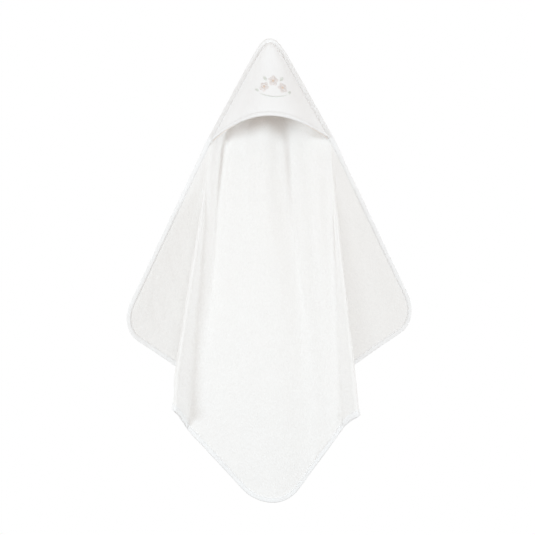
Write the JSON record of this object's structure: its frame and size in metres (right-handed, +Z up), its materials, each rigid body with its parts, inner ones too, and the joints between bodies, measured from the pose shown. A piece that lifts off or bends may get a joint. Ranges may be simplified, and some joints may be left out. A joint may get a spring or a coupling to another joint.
{
  "type": "hooded baby towel",
  "caption": "Square terry baby towel with a sewn corner hood, bound hem and small embroidered blossoms, hanging from the peak of its hood.",
  "frame": {"origin": "top of the rounded peak of the hood, where the towel hangs", "axes": "+Z up along the towel's diagonal, +Y towards its back, +X to the right seen from the front"},
  "size_m": [0.6241, 0.2015, 0.989],
  "materials": {
    "terry": "white looped cotton terry, matt and soft",
    "lining_terry": "white light cotton terry, matt",
    "hood_cloth": "white plain-woven cotton, smooth and matt",
    "binding_tape": "white woven cotton bias tape, a slight sheen",
    "thread": "white polyester sewing thread, a slight sheen",
    "backing": "white non-woven stabiliser, matt",
    "embroidery_petal": "cream satin-stitch thread, soft sheen",
    "embroidery_centre": "pale peach satin-stitch thread, soft sheen",
    "embroidery_leaf": "pale grey satin-stitch thread, soft sheen"
  },
  "bodies": {
    "towel": {"body_panel": "terry", "hem_binding": "binding_tape", "hem_stitching_front": "thread", "hem_stitching_back": "thread"},
    "hood": {"hood_panel": "hood_cloth", "hood_lining": "lining_terry", "hood_edge_binding": "binding_tape", "hood_edge_stitching": "thread", "embroidery_backing": "backing", "embroidery_stem": "embroidery_leaf", "embroidery_blossom_left": "embroidery_petal", "embroidery_blossom_middle": "embroidery_petal", "embroidery_blossom_right": "embroidery_petal", "embroidery_centre_left": "embroidery_centre", "embroidery_centre_middle": "embroidery_centre", "embroidery_centre_right": "embroidery_centre", "embroidery_leaf_upper_left": "embroidery_leaf", "embroidery_leaf_upper_right": "embroidery_leaf", "embroidery_leaf_lower_left": "embroidery_leaf", "embroidery_leaf_lower_right": "embroidery_leaf"}
  },
  "joints": [
    {"name": "hood_opening", "type": "hinge", "parent": "towel", "child": "hood", "pos_m": [0, -0.0075, -0.0125], "axis": [-1, 0, 0], "range_deg": [0, 14]}
  ]
}
